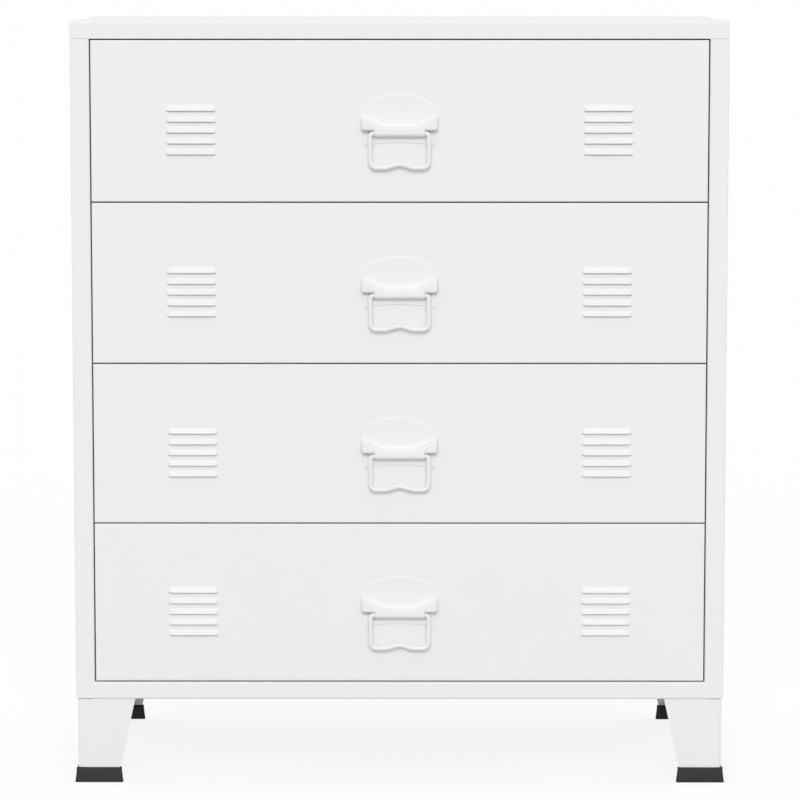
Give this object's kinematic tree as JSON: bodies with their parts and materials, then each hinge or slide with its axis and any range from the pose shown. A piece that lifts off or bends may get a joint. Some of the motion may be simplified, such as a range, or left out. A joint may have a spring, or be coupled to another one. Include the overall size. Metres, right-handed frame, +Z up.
{
  "type": "drawer cabinet",
  "caption": "White powder-coated steel drawer cabinet on splayed-cap angle legs, with louvred drawer fronts, pressed handle plates with drop bails, and roller runners.",
  "frame": {"origin": "on the floor, under the middle of the object's box", "axes": "+Z up, +X to the right of someone facing the drawers, +Y from the fronts to the back"},
  "size_m": [0.7838, 0.3984, 0.915],
  "materials": {
    "body_paint": "fine-textured white powder coat, semi-matt",
    "cap_plastic": "black moulded plastic, fine grain",
    "runner_steel": "bright zinc plate",
    "roller_nylon": "natural nylon",
    "fastener_steel": "zinc-plated steel"
  },
  "bodies": {
    "cabinet": {"top_panel": "body_paint", "bottom_panel": "body_paint", "back_panel": "body_paint", "leg_bolts": "fastener_steel", "panel_screws": "fastener_steel", "side_panel_left": "body_paint", "runner_post_left": "body_paint", "side_panel_right": "body_paint", "runner_post_right": "body_paint", "leg_front_left": "body_paint", "foot_cap_front_left": "cap_plastic", "leg_front_right": "body_paint", "foot_cap_front_right": "cap_plastic", "leg_rear_left": "body_paint", "foot_cap_rear_left": "cap_plastic", "leg_rear_right": "body_paint", "foot_cap_rear_right": "cap_plastic", "cabinet_rail_left_1": "runner_steel", "cabinet_rail_right_1": "runner_steel", "cabinet_rail_left_2": "runner_steel", "cabinet_rail_right_2": "runner_steel", "cabinet_rail_left_3": "runner_steel", "cabinet_rail_right_3": "runner_steel", "cabinet_rail_left_4": "runner_steel", "cabinet_rail_right_4": "runner_steel"},
    "drawer_1": {"drawer_front_1": "body_paint", "drawer_tray_1": "body_paint", "handle_plate_1": "body_paint", "drawer_rail_left_1": "runner_steel", "drawer_rail_right_1": "runner_steel"},
    "bail_1": {"handle_bail_1": "body_paint"},
    "front_rollers_1": {"cabinet_rollers_1": "roller_nylon"},
    "rear_rollers_1": {"drawer_rollers_1": "roller_nylon"},
    "drawer_2": {"drawer_front_2": "body_paint", "drawer_tray_2": "body_paint", "handle_plate_2": "body_paint", "drawer_rail_left_2": "runner_steel", "drawer_rail_right_2": "runner_steel"},
    "bail_2": {"handle_bail_2": "body_paint"},
    "front_rollers_2": {"cabinet_rollers_2": "roller_nylon"},
    "rear_rollers_2": {"drawer_rollers_2": "roller_nylon"},
    "drawer_3": {"drawer_front_3": "body_paint", "drawer_tray_3": "body_paint", "handle_plate_3": "body_paint", "drawer_rail_left_3": "runner_steel", "drawer_rail_right_3": "runner_steel"},
    "bail_3": {"handle_bail_3": "body_paint"},
    "front_rollers_3": {"cabinet_rollers_3": "roller_nylon"},
    "rear_rollers_3": {"drawer_rollers_3": "roller_nylon"},
    "drawer_4": {"drawer_front_4": "body_paint", "drawer_tray_4": "body_paint", "handle_plate_4": "body_paint", "drawer_rail_left_4": "runner_steel", "drawer_rail_right_4": "runner_steel"},
    "bail_4": {"handle_bail_4": "body_paint"},
    "front_rollers_4": {"cabinet_rollers_4": "roller_nylon"},
    "rear_rollers_4": {"drawer_rollers_4": "roller_nylon"}
  },
  "joints": [
    {"name": "drawer_1_slide", "type": "slide", "parent": "cabinet", "child": "drawer_1", "axis": [0, -1, 0], "range_m": [0, 0.275]},
    {"name": "bail_1_swing", "type": "hinge", "parent": "drawer_1", "child": "bail_1", "pos_m": [0, -0.19495, 0.7833], "axis": [-1, 0, 0], "range_deg": [0, 90]},
    {"name": "front_rollers_1_turn", "type": "hinge", "parent": "cabinet", "child": "front_rollers_1", "pos_m": [0, -0.1557, 0.75505], "axis": [1, 0, 0], "range_deg": [0, 1576]},
    {"name": "rear_rollers_1_turn", "type": "hinge", "parent": "drawer_1", "child": "rear_rollers_1", "pos_m": [0, 0.152, 0.75305], "axis": [1, 0, 0], "range_deg": [0, 1576]},
    {"name": "drawer_2_slide", "type": "slide", "parent": "cabinet", "child": "drawer_2", "axis": [0, -1, 0], "range_m": [0, 0.275]},
    {"name": "bail_2_swing", "type": "hinge", "parent": "drawer_2", "child": "bail_2", "pos_m": [0, -0.19495, 0.5908], "axis": [-1, 0, 0], "range_deg": [0, 90]},
    {"name": "front_rollers_2_turn", "type": "hinge", "parent": "cabinet", "child": "front_rollers_2", "pos_m": [0, -0.1557, 0.56255], "axis": [1, 0, 0], "range_deg": [0, 1576]},
    {"name": "rear_rollers_2_turn", "type": "hinge", "parent": "drawer_2", "child": "rear_rollers_2", "pos_m": [0, 0.152, 0.56055], "axis": [1, 0, 0], "range_deg": [0, 1576]},
    {"name": "drawer_3_slide", "type": "slide", "parent": "cabinet", "child": "drawer_3", "axis": [0, -1, 0], "range_m": [0, 0.275]},
    {"name": "bail_3_swing", "type": "hinge", "parent": "drawer_3", "child": "bail_3", "pos_m": [0, -0.19495, 0.3983], "axis": [-1, 0, 0], "range_deg": [0, 90]},
    {"name": "front_rollers_3_turn", "type": "hinge", "parent": "cabinet", "child": "front_rollers_3", "pos_m": [0, -0.1557, 0.37005], "axis": [1, 0, 0], "range_deg": [0, 1576]},
    {"name": "rear_rollers_3_turn", "type": "hinge", "parent": "drawer_3", "child": "rear_rollers_3", "pos_m": [0, 0.152, 0.36805], "axis": [1, 0, 0], "range_deg": [0, 1576]},
    {"name": "drawer_4_slide", "type": "slide", "parent": "cabinet", "child": "drawer_4", "axis": [0, -1, 0], "range_m": [0, 0.275]},
    {"name": "bail_4_swing", "type": "hinge", "parent": "drawer_4", "child": "bail_4", "pos_m": [0, -0.19495, 0.2058], "axis": [-1, 0, 0], "range_deg": [0, 90]},
    {"name": "front_rollers_4_turn", "type": "hinge", "parent": "cabinet", "child": "front_rollers_4", "pos_m": [0, -0.1557, 0.17755], "axis": [1, 0, 0], "range_deg": [0, 1576]},
    {"name": "rear_rollers_4_turn", "type": "hinge", "parent": "drawer_4", "child": "rear_rollers_4", "pos_m": [0, 0.152, 0.17555], "axis": [1, 0, 0], "range_deg": [0, 1576]}
  ],
  "couplings": [
    {"joint": "front_rollers_1_turn", "follows": "drawer_1_slide", "rad_per_m": 100},
    {"joint": "rear_rollers_1_turn", "follows": "drawer_1_slide", "rad_per_m": 100},
    {"joint": "front_rollers_2_turn", "follows": "drawer_2_slide", "rad_per_m": 100},
    {"joint": "rear_rollers_2_turn", "follows": "drawer_2_slide", "rad_per_m": 100},
    {"joint": "front_rollers_3_turn", "follows": "drawer_3_slide", "rad_per_m": 100},
    {"joint": "rear_rollers_3_turn", "follows": "drawer_3_slide", "rad_per_m": 100},
    {"joint": "front_rollers_4_turn", "follows": "drawer_4_slide", "rad_per_m": 100},
    {"joint": "rear_rollers_4_turn", "follows": "drawer_4_slide", "rad_per_m": 100}
  ]
}
